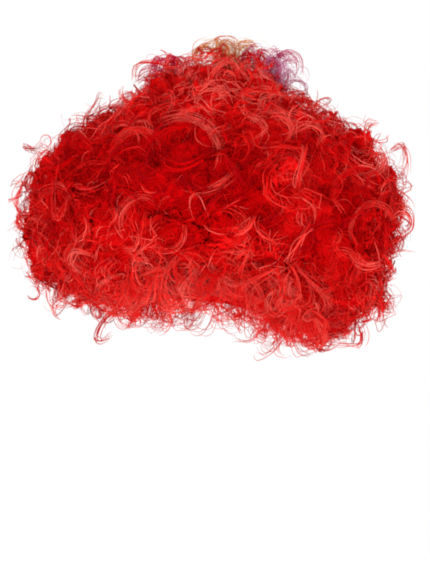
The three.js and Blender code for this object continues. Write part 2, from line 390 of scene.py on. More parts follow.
# The crown is pressed flatter, and the fringe is lifted.
mass_places[:, 2] -= CROWN_PRESSED * np.maximum(mass_places[:, 2] - CROWN_LEVEL, 0)
at_front = ramp(-mass_places[:, 1], *FRINGE_FRONT_RAMP)
near_middle = np.clip(1 - (mass_places[:, 0] / FRINGE_HALF_WIDTH) ** 2, 0, 1)
low_down = ramp(-mass_places[:, 2], *FRINGE_LOW_RAMP)
mass_places[:, 2] += FRINGE_LIFT * at_front * near_middle * low_down
mass.data.vertices.foreach_set("co", mass_places.ravel())
mass.data.update()
# Painted light on ridges, painted shade in dips and inside the hollow, and the broad painted light and shade.
ridges_and_painted_light = np.clip(0.5 + 0.5 * ridges_and_painted_light / RIDGE_DEPTH + RIDGE_SHADE * painted_light_and_shade_at(mass_places), 0, 1)
ridges_and_painted_light *= ramp(beyond_hollow(mass_places), *LINING_LIT_RAMP)
mass.data.attributes.new("painted_light", "FLOAT", "POINT").data.foreach_set("value", ridges_and_painted_light)
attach(mass, "root")
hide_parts("red_hair")


# Red waves
# The fibre is crimped, so where it lies on the mass it runs in whorls and waves, each fibre beside the next.
# These crossing layers of single fibres cover the mass all over.
WAVE_SPACING = 0.0074
WAVE_STEPS = 8
WAVE_STRIDE = (0.0040, 0.0075)
WAVE_RADIUS = 0.00034
WAVE_LIFT = (0.0005, 0.0175)
WAVE_TONES = (0.56, 0.04)
WAVE_FRIZZ = (0.006, 70.0)
ARCH_START = 0.15
ARCH_SUNK = 0.25
WHORL_LENGTHS = (0.045, 0.110)
WHORL_WAVES = 28
FALL_AT_TOP = 0.1
FALL_AT_BOTTOM = 0.9
FALL_RAMP = (-0.06, 0.2)
SPOT_TRIES = 5
CLEAR_OF_CAP = 1.3
ROOM_ROUND_CAD = Vector((0.0095, 0.0095, 0.0085))
SOFT_EDGE = 0.008
CLEAR_OF_HOLLOW = 1.1
LEAST_BEYOND = 0.3
FIBRE_SIDES = 3
STRANDS_APART = (7.3, 3.1, 5.7)
STRAND_STEP = 0.618
UNEVEN = (0.7, 1.3)
TIP_WIDTH = 0.35
TIP_TAPER = 2.6
ROOT_WIDTH = 0.6
ROOT_TAPER = 3
RIDGE_PAINTED_LIGHT = 0.22
SHADE_SHARE = (0.6, 1.3)
MOST_TONE = 0.90
CROWN_ZONE = 0.045
TONE_STOPS = ["Darkest", "Deep", "Plain", "Bright"]
# Painted shade at each strand's root and tip, which leaves a painted highlight along its middle.
ROOT_SHARE = 0.35
ROOT_PAINTED_SHADE = 0.5
TIP_SHARE = 0.35
TIP_PAINTED_SHADE = 0.5
FIBRE_ROUGHNESS = 0.45
FIBRE_SHEEN = 0.05
RED_TONES = [
    (0.300, 0.0007, 0.0030, 1),
    (0.570, 0.0005, 0.0012, 1),
    (0.740, 0.0150, 0.0120, 1),
    (0.870, 0.1500, 0.1180, 1),
]
RED_GLOSS = (1.0, 0.14, 0.12, 1)

faces_of_mass = BVHTree.FromObject(mass, bpy.context.evaluated_depsgraph_get())
shade_draws = np.random.default_rng(61)


def painted_light_at(places):
    """The mass's painted light share near places, from 0, painted shade, up to 1, lit."""
    faces = mass.data.polygons
    return np.array([ridges_and_painted_light[faces[faces_of_mass.find_nearest(place)[2]].vertices[0]] for place in places])


def nearest_on_mass(places):
    """The nearest points of the mass to an array of places, and the ways out there."""
    points, ways = np.empty_like(places), np.empty_like(places)
    for number, place in enumerate(places):
        points[number], ways[number], _, _ = faces_of_mass.find_nearest(place)
    return points, ways


def off_the_mass(places):
    """How far places lie off the mass, and the ways out there."""
    nearest, ways_out = nearest_on_mass(places)
    return ((places - nearest) * ways_out).sum(axis=1), ways_out


def middles_of(paths):
    return paths[:, paths.shape[1] // 2]


def surface_spots(draws, spacing, keep):
    """Points spread evenly over the mass, no two nearer than a spacing, and the way out at each."""
    mesh = mass.data
    mesh.calc_loop_triangles()
    corners = np.empty(len(mesh.loop_triangles) * 3, int)
    mesh.loop_triangles.foreach_get("vertices", corners)
    corners = mass_places[corners].reshape(-1, 3, 3)
    crossed = np.cross(corners[:, 1] - corners[:, 0], corners[:, 2] - corners[:, 0])
    areas = np.linalg.norm(crossed, axis=1)
    tries = int(SPOT_TRIES * areas.sum() / spacing**2)
    chosen = draws.choice(len(areas), tries, p=areas / areas.sum())
    shares = np.sort(draws.random((tries, 2)), axis=1)
    shares = np.stack([shares[:, 0], shares[:, 1] - shares[:, 0], 1 - shares[:, 1]], axis=1)
    places = (corners[chosen] * shares[:, :, None]).sum(axis=1)
    ways_out = unit(crossed[chosen])
    fits = keep(places, ways_out)
    places, ways_out = places[fits], ways_out[fits]
    taken, cells = [], {}
    for number, place in enumerate(places):
        x, y, z = (place // spacing).astype(int)
        near = [n for dx, dy, dz in np.ndindex(3, 3, 3) for n in cells.get((x + dx, y + dy, z + dz), ())]
        if not near or ((places[near] - place) ** 2).sum(axis=1).min() > spacing**2:
            taken.append(number)
            cells.setdefault((x + 1, y + 1, z + 1), []).append(number)
    return places[taken], ways_out[taken]


def fall_at(places, ways_out):
    """The way that hair falls over the mass, out from the crown and then down, and the way beside it."""
    from_axis = np.hypot(places[:, 0], places[:, 1])[:, None]
    down = np.concatenate([places[:, :2] / np.maximum(from_axis, 1e-3), -np.ones((len(places), 1))], axis=1)
    down = unit(down - ways_out * (down * ways_out).sum(axis=1, keepdims=True))
    return down, np.cross(ways_out, down)


def within_room(paths):
    """The paths eased back where they leave the room round the part, and pushed clear of the cap's hollow."""
    paths = paths.copy()
    for axis in range(3):
        for side, limit in ((1, cad_high[axis]), (-1, cad_low[axis])):
            past = side * (paths[..., axis] - limit) - ROOM_ROUND_CAD[axis] + SOFT_EDGE
            eased = side * limit + ROOM_ROUND_CAD[axis] - SOFT_EDGE * np.exp(-np.maximum(past, 0) / SOFT_EDGE)
            paths[..., axis] = np.where(past > 0, side * eased, paths[..., axis])
    flat = paths.reshape(-1, 3)
    push = np.maximum(1, CLEAR_OF_HOLLOW / np.maximum(beyond_hollow(flat), LEAST_BEYOND))[:, None]
    flat[:, :2] *= push
    return flat.reshape(paths.shape)


def fibre_tree():
    """Geometry nodes that turn guide lines into crimped fibres, each as thick as its guide says."""
    inputs = {
        "Guides": "NodeSocketGeometry",
        "Frizz": "NodeSocketFloat",
        "Frizz Scale": "NodeSocketFloat",
        "Sides": "NodeSocketInt",
        "Fibre": "NodeSocketMaterial",
    }
    outputs = {"Fibres": "NodeSocketGeometry"}
    tree, given, put_out = new_group("fibres_along_guides", inputs, outputs, "GeometryNodeTree")

    def made(kind, terms=()):
        return new_node(tree, kind, terms).outputs[0]

    def stored(name):
        return made("GeometryNodeInputNamedAttribute", {"Name": name})

    def vector(operation, terms):
        return new_node(tree, "ShaderNodeVectorMath", terms, operation=operation).outputs[0]

    apart = vector("SCALE", {0: STRANDS_APART, "Scale": stored("strand")})
    seen_at = vector("ADD", {0: made("GeometryNodeInputPosition"), 1: apart})
    crimp_terms = {"Vector": seen_at, "Scale": given["Frizz Scale"], "Detail": 1.0}
    crimp = new_node(tree, "ShaderNodeTexNoise", crimp_terms).outputs["Color"]
    centred = vector("SUBTRACT", {0: crimp, 1: (0.5, 0.5, 0.5)})
    crimp_size = calculate(tree, "MULTIPLY", given["Frizz"], stored("along"))
    offset = vector("SCALE", {0: centred, "Scale": crimp_size})
    lines = made("GeometryNodeMeshToCurve", {"Mesh": given["Guides"]})
    crimped = made("GeometryNodeSetPosition", {"Geometry": lines, "Offset": offset})
    section = made("GeometryNodeCurvePrimitiveCircle", {"Radius": 1.0, "Resolution": given["Sides"]})
    tube_terms = {"Curve": crimped, "Profile Curve": section, "Scale": stored("thickness"), "Fill Caps": True}
    tubes = made("GeometryNodeCurveToMesh", tube_terms)
    smooth = made("GeometryNodeSetShadeSmooth", {0: tubes})
    real = made("GeometryNodeRealizeInstances", {0: smooth})
    with_colour = made("GeometryNodeSetMaterial", {"Geometry": real, "Material": given["Fibre"]})
    feed(tree, put_out["Fibres"], with_colour)
    return tree


fibres = fibre_tree()
fibre_sockets = {item.name: item.identifier for item in fibres.interface.items_tree if item.in_out == "INPUT"}


def fibre_piece(name, paths, thickness, tone, frizz, finish):
    """One mesh of fibres from guide paths, with a thickness and a tone for each strand."""
    paths = within_room(paths)
    strands, points = paths.shape[:2]
    share = np.tile(np.linspace(0, 1, points), (strands, 1))
    firsts = np.arange(strands * points).reshape(strands, points)[:, :-1].ravel()
    mesh = bpy.data.meshes.new(name)
    mesh.vertices.add(strands * points)
    mesh.vertices.foreach_set("co", paths.ravel())
    mesh.edges.add(len(firsts))
    mesh.edges.foreach_set("vertices", np.stack([firsts, firsts + 1], axis=1).ravel())
    to_tip = np.minimum(1, TIP_WIDTH + TIP_TAPER * (1 - share))
    from_root = np.minimum(1, ROOT_WIDTH + ROOT_TAPER * share)
    columns = {
        "thickness": thickness[:, None] * (to_tip * from_root),
        "tone": np.repeat(np.clip(tone, 0, MOST_TONE)[:, None], points, axis=1),
        "along": share,
        "strand": np.repeat(np.arange(strands)[:, None] * STRAND_STEP % 1, points, axis=1),
    }
    for column, values in columns.items():
        mesh.attributes.new(column, "FLOAT", "POINT").data.foreach_set("value", values.ravel())
    mesh.update()
    piece = put_in_scene(name, mesh)
    grow = piece.modifiers.new("fibres", "NODES")
    grow.node_group = fibres
    settings = {"Frizz": frizz[0], "Frizz Scale": frizz[1], "Sides": FIBRE_SIDES, "Fibre": finish}
    for socket, value in settings.items():
        grow[fibre_sockets[socket]] = value
    apply_modifiers(piece)
    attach(piece, "root")
    return piece


def red_piece(name, paths, thickness, tone, frizz):
    fibre_piece(name, paths, thickness, tone, frizz, red_finish)


def red_pieces(name, paths, thickness, tone, frizz):
    """Red fibres in five meshes, one for each side of the wig and one for the crown."""
    middles = middles_of(paths)
    quarters = np.floor((np.degrees(np.arctan2(middles[:, 1], middles[:, 0])) + 45) / 90).astype(int) % 4
    zones = np.where(middles[:, 2] > CROWN_ZONE, 4, quarters)
    # Each strand's tone gets painted light and shade from the mass under it and from the broad places.
    shades = painted_light_and_shade_at(middles) * shade_draws.uniform(*SHADE_SHARE, len(middles))
    tone = tone + RIDGE_PAINTED_LIGHT * (painted_light_at(middles) - 0.5) + shades
    for zone, place in enumerate(("right", "back", "left", "front", "crown")):
        mine = zones == zone
        red_piece(f"{name}_{place}", paths[mine], thickness[mine], tone[mine], frizz)


# A strand's colour: one of four, dark to bright, by its tone, with painted shade at its root and tip.
strand_dye_and_painted_shade, given, put_out = new_group(
    "strand_dye_and_painted_shade", dict.fromkeys(TONE_STOPS, "NodeSocketColor"), {"Colour": "NodeSocketColor"}
)
strand_tone = new_node(strand_dye_and_painted_shade, "ShaderNodeAttribute", attribute_name="tone").outputs["Fac"]
strand_colour = given["Darkest"]
for number, dye in enumerate(TONE_STOPS[1:]):
    steps = {"Value": strand_tone, "From Min": number / 3, "From Max": (number + 1) / 3}
    brighter = new_node(strand_dye_and_painted_shade, "ShaderNodeMapRange", steps).outputs[0]
    strand_colour = mixed_colour(strand_dye_and_painted_shade, brighter, strand_colour, given[dye])
along_strand = new_node(strand_dye_and_painted_shade, "ShaderNodeAttribute", attribute_name="along").outputs["Fac"]
root_steps = {"Value": along_strand, "From Max": ROOT_SHARE, "To Min": ROOT_PAINTED_SHADE, "To Max": 0.0}
tip_steps = {"Value": along_strand, "From Min": 1 - TIP_SHARE, "To Max": TIP_PAINTED_SHADE}
ends = [new_node(strand_dye_and_painted_shade, "ShaderNodeMapRange", steps).outputs[0] for steps in (root_steps, tip_steps)]
painted_end_shade = calculate(strand_dye_and_painted_shade, "MAXIMUM", *ends)
strand_dye_and_painted_shade.links.new(mixed_colour(strand_dye_and_painted_shade, painted_end_shade, strand_colour, given["Deep"]), put_out["Colour"])


def fibre_finish(name, tones, gloss):
    """Synthetic fibre with a soft sheen, four colours dark to bright, and painted shade at strand ends."""
    sheen = {"Specular_IOR_Level": FIBRE_SHEEN, "Specular_Tint": gloss}
    finish, tree, shader = new_finish(name, FIBRE_ROUGHNESS, **sheen)
    with_colour = placed_group(tree, strand_dye_and_painted_shade, dict(zip(TONE_STOPS, tones)))
    tree.links.new(with_colour["Colour"], shader.inputs["Base Color"])
    return finish


def not_in_hollow(places, ways_out):
    return beyond_hollow(places) > CLEAR_OF_CAP


def whorl_field(draws):
    """The slope of a smooth random field, as a function of place. Its level lines make whorls and waves."""
    lengths = draws.uniform(*WHORL_LENGTHS, WHORL_WAVES)
    ways = unit(draws.normal(size=(WHORL_WAVES, 3))) * (2 * math.pi / lengths)[:, None]
    phases = draws.uniform(0, 2 * math.pi, WHORL_WAVES)
    return lambda places: np.sin(places @ ways.T + phases) @ ways


def wave_paths(draws, starts, ways_out, slope):
    """Fibres that run along the level lines of a field over the mass, and more downwards lower down."""
    strides = draws.uniform(*WAVE_STRIDE, len(starts))[:, None]
    heights = draws.uniform(*WAVE_LIFT, len(starts))[:, None]
    share = np.linspace(0, 1, WAVE_STEPS + 1)
    here, out = starts, ways_out
    paths = np.empty((len(starts), WAVE_STEPS + 1, 3))
    for step in range(WAVE_STEPS + 1):
        arch = math.sin(math.pi * min(1, ARCH_START + share[step])) - ARCH_SUNK * (1 - share[step])
        paths[:, step] = here + out * heights * arch
        down, _ = fall_at(here, out)
        level = ramp(-here[:, 2:], *FALL_RAMP)
        way = unit(np.cross(out, slope(here))) + down * (FALL_AT_TOP + level * (FALL_AT_BOTTOM - FALL_AT_TOP))
        here, out = nearest_on_mass(here + unit(way) * strides)
    return paths


red_finish = fibre_finish("red_fibre", RED_TONES, RED_GLOSS)
wave_draws = np.random.default_rng(7)
wave_starts, wave_ways = surface_spots(wave_draws, WAVE_SPACING, not_in_hollow)
waves = wave_paths(wave_draws, wave_starts, wave_ways, whorl_field(wave_draws))
wave_widths = WAVE_RADIUS * wave_draws.uniform(*UNEVEN, len(waves))
red_pieces("red_waves", waves, wave_widths, wave_draws.normal(*WAVE_TONES, len(waves)), WAVE_FRIZZ)


# Red locks
# Fibres that hang together stand out from the rest as locks. A lock leaves the mass, sweeps round in an arc,
# a ring or a wave, and lies on the other hair, or stands clear of it, where it gets painted shade.
CURL_KINDS = {
    "arc": {
        "share": 0.62, "strands": 11, "radius": (0.014, 0.030), "turns": (0.35, 0.6), "rise": (0.0, 0.016),
        "lean": (0, 30), "scatter": 3.0, "height": (0.006, 0.014), "start": (0, 6.3), "spread": 0.0020,
    },
    "ring": {
        "share": 0.16, "strands": 8, "radius": (0.008, 0.016), "turns": (0.45, 0.75), "rise": (0.004, 0.020),
        "lean": (0, 55), "scatter": 3.0, "height": (0.005, 0.014), "start": (0, 6.3), "spread": 0.0016,
    },
    "wave": {
        "share": 0.22, "strands": 10, "radius": (0.008, 0.014), "turns": (0.7, 1.1), "rise": (0.035, 0.060),
        "lean": (70, 100), "scatter": 0.9, "height": (0.005, 0.013), "start": (0, 6.3), "spread": 0.0020,
    },
}
LOCK_SPACING = 0.0208
LOCK_POINTS = 14
LOCK_RADIUS = 0.00032
LOCK_REACH = 0.014
LOCK_TONES = (0.77, 0.08, 0.07)
LOCK_FRIZZ = (0.004, 90.0)
STRAND_LENGTHS = (0.7, 1.0)
START_VARIES = 0.16
TURNS_VARY = 0.07
RISE_VARIES = 0.10
CURL_CLOSES = 0.3
SPREAD_AT_ROOT = 0.4
ROOTED_SHARE = 0.25
ROOT_SUNK = 0.006
LEAST_LIFT = (0.001, 0.012)
TIP_FROM = 0.55
TIP_SETTLES = 0.7
EASINGS = 3
MOST_LEAP = 1.7
MOST_BEND = 36
MOST_STRAIGHT = 0.93
# Strands that stand clear of the mass get painted shade.
LYING = 0.006
STANDING = 0.013
STANDING_PAINTED_SHADE = 0.42


def curl_paths(draws, places, ways_out, kind, points):
    """Strands of one kind of lock, alike but for small differences: an array of locks, strands, points."""
    locks, strands = len(places), kind["strands"]
    down, aside = fall_at(places, ways_out)

    def of_lock(name):
        return draws.uniform(*kind[name], locks)

    def varied(size):
        return 1 + draws.normal(0, size, (locks, strands))

    lean = np.radians(of_lock("lean"))[:, None]
    heading = draws.uniform(-kind["scatter"], kind["scatter"], locks)[:, None]
    along = np.cos(heading) * down + np.sin(heading) * aside
    axis = unit(np.cos(lean) * ways_out + np.sin(lean) * along)
    first = unit(aside - axis * (aside * axis).sum(axis=1, keepdims=True))
    second = np.cross(axis, first)
    share = np.linspace(0, 1, points) * draws.uniform(*STRAND_LENGTHS, (locks, strands, 1))
    radius = of_lock("radius")[:, None] + draws.normal(0, kind["spread"], (locks, strands))
    radius = radius[..., None] * (1 - CURL_CLOSES * share)
    hand = draws.choice([-1, 1], locks)[:, None, None]
    start = of_lock("start")[:, None] + draws.normal(0, START_VARIES, (locks, strands))
    turns = (of_lock("turns")[:, None] * varied(TURNS_VARY))[..., None]
    angle = start[..., None] + hand * 2 * math.pi * turns * share
    rise = (of_lock("rise")[:, None] * varied(RISE_VARIES))[..., None] * (share - 0.5)
    centre = places + ways_out * of_lock("height")[:, None]
    spread = draws.normal(0, kind["spread"], (locks, strands, 1, 3)) * (SPREAD_AT_ROOT + share)[..., None]
    return (
        centre[:, None, None]
        + spread
        + axis[:, None, None] * rise[..., None]
        + first[:, None, None] * (radius * np.cos(angle))[..., None]
        + second[:, None, None] * (radius * np.sin(angle))[..., None]
    )


def laid_on_the_mass(draws, paths, reach):
    """The paths with their roots in the mass, the rest just over it, and nothing further off than a reach."""
    strands, points = paths.shape[:2]
    share = np.linspace(0, 1, points)
    rooted = ramp(share, 0, ROOTED_SHARE)
    settled = 1 - TIP_SETTLES * ramp(share, TIP_FROM, 1 - TIP_FROM)
    least = draws.uniform(*LEAST_LIFT, strands)[:, None] * rooted * settled - ROOT_SUNK * (1 - rooted)
    off, ways_out = off_the_mass(paths.reshape(-1, 3))
    held = np.minimum(np.maximum(off, least.ravel()), np.tile(reach * settled, strands))
    laid = paths + (ways_out * (held - off)[:, None]).reshape(paths.shape)
    for _ in range(EASINGS):
        laid[:, 1:-1] = (laid[:, :-2] + 2 * laid[:, 1:-1] + laid[:, 2:]) / 4
    return laid


def steady(paths):
    """Which of the paths run on evenly, with no leap and no kink, and in a curve."""
    steps = np.diff(paths, axis=1)
    lengths = np.linalg.norm(steps, axis=2)
    ways = unit(steps)
    bends = (ways[:, 1:] * ways[:, :-1]).sum(axis=2).min(axis=1)
    even = lengths.max(axis=1) < MOST_LEAP * lengths.mean(axis=1)
    curved = np.linalg.norm(paths[:, -1] - paths[:, 0], axis=1) < MOST_STRAIGHT * lengths.sum(axis=1)
    return even & curved & (bends > math.cos(math.radians(MOST_BEND)))


def standing_clear(paths):
    """How far the middles of paths stand clear of the mass, from 0 for those that lie on it up to 1."""
    return ramp(off_the_mass(middles_of(paths))[0], LYING, STANDING - LYING)


def tones_of_locks(draws, locks, strands, tone, between, within):
    """A tone for each strand: much like the others of its lock, less like those of other locks."""
    return np.repeat(draws.normal(tone, between, locks), strands) + draws.normal(0, within, locks * strands)


lock_draws = np.random.default_rng(11)
lock_spots, lock_ways = surface_spots(lock_draws, LOCK_SPACING, not_in_hollow)
kinds_share = [kind["share"] for kind in CURL_KINDS.values()]
kind_of_lock = lock_draws.choice(len(kinds_share), len(lock_spots), p=kinds_share)
lock_paths, lock_tones = [], []
for number, kind in enumerate(CURL_KINDS.values()):
    mine = kind_of_lock == number
    paths = curl_paths(lock_draws, lock_spots[mine], lock_ways[mine], kind, LOCK_POINTS)
    lock_paths.append(paths.reshape(-1, LOCK_POINTS, 3))
    lock_tones.append(tones_of_locks(lock_draws, len(paths), kind["strands"], *LOCK_TONES))
lock_paths = laid_on_the_mass(lock_draws, np.concatenate(lock_paths), LOCK_REACH)
kept = steady(lock_paths)
lock_paths = lock_paths[kept]
# Painted shade on the strands that stand clear of the mass.
lock_tones = np.concatenate(lock_tones)[kept] - STANDING_PAINTED_SHADE * standing_clear(lock_paths)
lock_widths = LOCK_RADIUS * lock_draws.uniform(*UNEVEN, len(lock_paths))
red_pieces("red_locks", lock_paths, lock_widths, lock_tones, LOCK_FRIZZ)


# Main locks
# These are the locks that show most at the front and the lower edge of the wig: broad, evenly swept arcs on
# the hair, given a high tone as painted light, and open curls that hang clear of it, given a low tone as
# painted shade.
# Each row has the middle of an arc, mm to the right and mm up, its radius in mm, its first angle and its turn
# in degrees, its strands and their tone, its width as a share of its height, and its tilt in degrees.
ARC_COLUMNS = ("right", "over", "radius", "from", "turn", "strands", "tone", "narrow", "tilt")
MAIN_ROWS = [
    (-26, 8, 40, 115, -125, 22, 0.86, 1, 0),
    (-84, 22, 19, 150, -170, 12, 0.74, 1, 0),
    (-24, 12, 46, -15, -70, 12, 0.78, 1, 0),
    (70, -14, 22, 130, -160, 16, 0.74, 1, 0),
    (-62, -48, 24, 200, -140, 14, 0.76, 1, 0),
    (-44, -62, 19, 20, -150, 12, 0.72, 1, 0),
    (90, 60, 32, 175, 95, 8, 0.72, 1, 0),
    (152, -56, 26, 210, -205, 12, 0.72, 1, 0),
    (186, -54, 15, 110, -200, 10, 0.66, 1, 0),
    (118, -100, 24, 100, -130, 10, 0.70, 1, 0),
    (-150, -40, 22, 160, -150, 10, 0.68, 1, 0),
    (-120, -90, 24, 60, 130, 10, 0.70, 1, 0),
    (-106, -158, 20, 70, 300, 9, 0.28, 0.42, -38),
    (-78, -140, 13, 130, 220, 5, 0.30, 0.7, 0),
    (-118, -140, 13, 100, 240, 5, 0.28, 0.6, 0),
    (-152, -140, 13, 60, 220, 3, 0.26, 0.8, 0),
    (160, -150, 26, 110, -80, 6, 0.34, 1, 0),
    (138, -168, 18, 60, -120, 6, 0.40, 0.7, 0),
]
MAIN_POINTS = 16
MAIN_LIFT = (0.003, 0.009)
MAIN_UNEVEN = (0.8, 1.4)
MAIN_RADIUS_VARIES = 0.0024
MAIN_START_VARIES = 9
MAIN_LENGTHS = (0.75, 1)
MAIN_SPREAD = 0.0012
MAIN_CLOSES = 0.25
MAIN_DEEPEST = 0.012
MAIN_EASING = 5
MAIN_ROOT = 0.2
MAIN_LIFTS_BY = 4
MAIN_TONE_VARIES = 0.08
MAIN_FRIZZ = (0.004, 70.0)


def main_lock_path(draws, lock):
    """One strand of a main lock: an arc seen from the front, laid on the front of the mass or beside it."""
    share = np.linspace(0, 1, MAIN_POINTS)
    radius = lock["radius"] / 1000 + draws.normal(0, MAIN_RADIUS_VARIES)
    start = lock["from"] + draws.normal(0, MAIN_START_VARIES)
    turned = lock["turn"] * np.linspace(0, draws.uniform(*MAIN_LENGTHS), MAIN_POINTS)
    angles = np.radians(start + turned)
    closing = radius * (1 - MAIN_CLOSES * share)
    path = np.zeros((MAIN_POINTS, 3))
    tilt = math.radians(lock["tilt"])
    aside, upwards = closing * np.cos(angles) * lock["narrow"], closing * np.sin(angles)
    for axis, middle, way in (
        (0, "right", aside * math.cos(tilt) - upwards * math.sin(tilt)),
        (2, "over", aside * math.sin(tilt) + upwards * math.cos(tilt)),
    ):
        path[:, axis] = lock[middle] / 1000 + way + draws.normal(0, MAIN_SPREAD)
    depths = []
    for point in path:
        seen, _, _, _ = faces_of_mass.ray_cast(Vector((point[0], -1, point[2])), Vector((0, 1, 0)))
        depths.append(seen.y if seen else np.nan)
    depths = np.array(depths)
    known = ~np.isnan(depths)
    if known.any():
        depths = np.interp(np.arange(len(depths)), np.flatnonzero(known), depths[known])
    else:
        depths[:] = faces_of_mass.find_nearest(path.mean(axis=0))[0].y
    depths = np.minimum(depths, depths.mean() + MAIN_DEEPEST)
    ease = np.ones(MAIN_EASING) / MAIN_EASING
    path[:, 1] = np.convolve(np.pad(depths, MAIN_EASING // 2, mode="edge"), ease, mode="valid")
    lift = draws.uniform(*MAIN_LIFT)
    path[:, 1] -= lift * np.minimum(1, MAIN_ROOT + MAIN_LIFTS_BY * share)
    return path


main_draws = np.random.default_rng(19)
main_locks = [dict(zip(ARC_COLUMNS, row)) for row in MAIN_ROWS]
main_strands = [lock for lock in main_locks for _ in range(lock["strands"])]
main_paths = np.array([main_lock_path(main_draws, lock) for lock in main_strands])
main_widths = LOCK_RADIUS * main_draws.uniform(*MAIN_UNEVEN, len(main_paths))
main_tones = np.array([lock["tone"] for lock in main_strands])
main_tones += main_draws.normal(0, MAIN_TONE_VARIES, len(main_paths))
red_piece("red_main_locks", main_paths, main_widths, main_tones, MAIN_FRIZZ)


# Ends of the red hair
# All along the lower edge the ends of the locks hang free in thin, open loops. They are longer at the back,
# and at the front they are so many that they make a fringe.
# Each kind is rooted in a part of the mass: a box, the most that it faces upwards, 2 for any way, and the
# least that it is beyond the hollow.
# The fringe's ends get a high tone as painted light, the other ends and the nape a low one as painted shade.
END_KIND = {
    "radius": (0.007, 0.015), "turns": (0.45, 0.95), "rise": (-0.008, 0.008), "lean": (-25, 25),
    "scatter": 3.0, "height": (0.0, 0.003), "start": (0.5, 2.6), "strands": 5, "spread": 0.0010,
    "spacing": 0.0138, "root": (0, 0, 0.008), "drop": (0.0, 0.010), "tones": (0.46, 0.13, 0.05),
    "low": (-1, -1, -1), "high": (1, 1, -0.085), "facing": -0.1, "beyond": 1.08,
}
NAPE_KIND = END_KIND | {
    "spacing": 0.0085, "facing": 2, "beyond": 1.02,
    "low": (-FRINGE_HALF_WIDTH, 0.05, -1), "high": (FRINGE_HALF_WIDTH, 0.13, -0.118),
}
FRINGE_KIND = END_KIND | {
    "radius": (0.007, 0.019), "turns": (0.4, 0.85), "strands": 7, "spread": 0.0011,
    "spacing": 0.0066, "root": (0, -0.004, 0.001), "drop": (0.0, 0.020), "tones": (0.66, 0.12, 0.05),
    "low": (-FRINGE_HALF_WIDTH, -1, -1), "high": (FRINGE_HALF_WIDTH, -0.06, -0.088),
    "facing": 2, "beyond": 1.1,
}
END_POINTS = 10
END_RADIUS = 0.00028
END_FRIZZ = (0.010, 60.0)
END_HELD = 0.85
END_WAY_VARIES = 0.03
DROP_VARIES = (0.6, 1.2)
NAPE_DROP = 1.6
NAPE_DROP_WITHIN = 0.08
END_SWAY = 0.015
SWAY_VARIES = 0.2
HUNG_FROM = 0.5
HUNG_CURVE = 1.5


def let_down(draws, paths, drop, strands):
    """The paths let down and to one side, each lock by its own lengths, from roots that stay."""
    locks = len(paths) // strands
    drops = np.repeat(draws.uniform(*drop, locks), strands) * draws.uniform(*DROP_VARIES, len(paths))
    drops *= 1 + NAPE_DROP * ramp(paths[:, 0, 1], 0, NAPE_DROP_WITHIN)
    sways = np.repeat(draws.normal(0, END_SWAY, locks), strands)
    sways += draws.normal(0, SWAY_VARIES * END_SWAY, len(paths))
    hung = ramp(np.linspace(0, 1, paths.shape[1]), 0, HUNG_FROM) ** HUNG_CURVE
    beside = unit(np.cross(paths[:, 0] * (1, 1, 0), (0, 0, 1)))
    paths += (beside * sways[:, None] - (0, 0, 1) * drops[:, None])[:, None] * hung[:, None]
    return paths


def hanging_ends(name, draws, kind):
    """A piece of locks of one kind that hang in loops from their roots in that kind's part of the mass."""

    def where(places, ways_out):
        boxed = ((places > kind["low"]) & (places < kind["high"])).all(axis=1)
        return boxed & (ways_out[:, 2] < kind["facing"]) & (beyond_hollow(places) > kind["beyond"])

    strands = kind["strands"]
    spots, _ = surface_spots(draws, kind["spacing"], where)
    ways_out = unit(spots * (1, 1, 0) + END_WAY_VARIES * draws.normal(size=spots.shape))
    paths = curl_paths(draws, spots, ways_out, kind, END_POINTS)
    paths += (spots[:, None] + kind["root"] - paths[:, :, 0])[:, :, None] * END_HELD
    paths = let_down(draws, paths.reshape(-1, END_POINTS, 3), kind["drop"], strands)
    widths = END_RADIUS * draws.uniform(*UNEVEN, len(paths))
    red_piece(name, paths, widths, tones_of_locks(draws, len(spots), strands, *kind["tones"]), END_FRIZZ)


end_draws = np.random.default_rng(23)
hanging_ends("red_ends", end_draws, END_KIND)
hanging_ends("red_nape", end_draws, NAPE_KIND)
hanging_ends("red_fringe", end_draws, FRINGE_KIND)


# Loose red fibres
# All over the outside single fibres and thin loops have sprung out of the locks. They are held at their roots
# alone and stand clear of the rest. They get a low tone as painted shade, dark against what is behind them.
LOOSE_KIND = {
    "radius": (0.0045, 0.012), "turns": (0.55, 1.15), "rise": (0.006, 0.020), "lean": (30, 110),
    "scatter": 3.2, "height": (0.008, 0.019), "start": (0, 6.3), "strands": 4, "spread": 0.0006,
    "spacing": 0.0143, "points": 10, "reach": 0.026, "tones": (0.20, 0.13, 0.04),
}
LOOSE_RADIUS = 0.00040
LOOSE_FRIZZ = (0.0025, 70.0)


def curls_outside(draws, kind):
    """Strands of one kind of curl all over the outside of the mass, laid on it, and the number of curls."""
    spots, ways_out = surface_spots(draws, kind["spacing"], not_in_hollow)
    paths = curl_paths(draws, spots, ways_out, kind, kind["points"]).reshape(-1, kind["points"], 3)
    return laid_on_the_mass(draws, paths, kind["reach"]), len(spots)


def steady_curls_outside(draws, kind):
    """Those of such strands that are steady, and a tone for each."""
    paths, curls = curls_outside(draws, kind)
    tones = tones_of_locks(draws, curls, kind["strands"], *kind["tones"])
    kept = steady(paths)
    return paths[kept], tones[kept]


loose_draws = np.random.default_rng(31)
loose, loose_tones = steady_curls_outside(loose_draws, LOOSE_KIND)
loose_widths = LOOSE_RADIUS * loose_draws.uniform(*UNEVEN, len(loose))
red_pieces("loose_fibres", loose, loose_widths, loose_tones, LOOSE_FRIZZ)

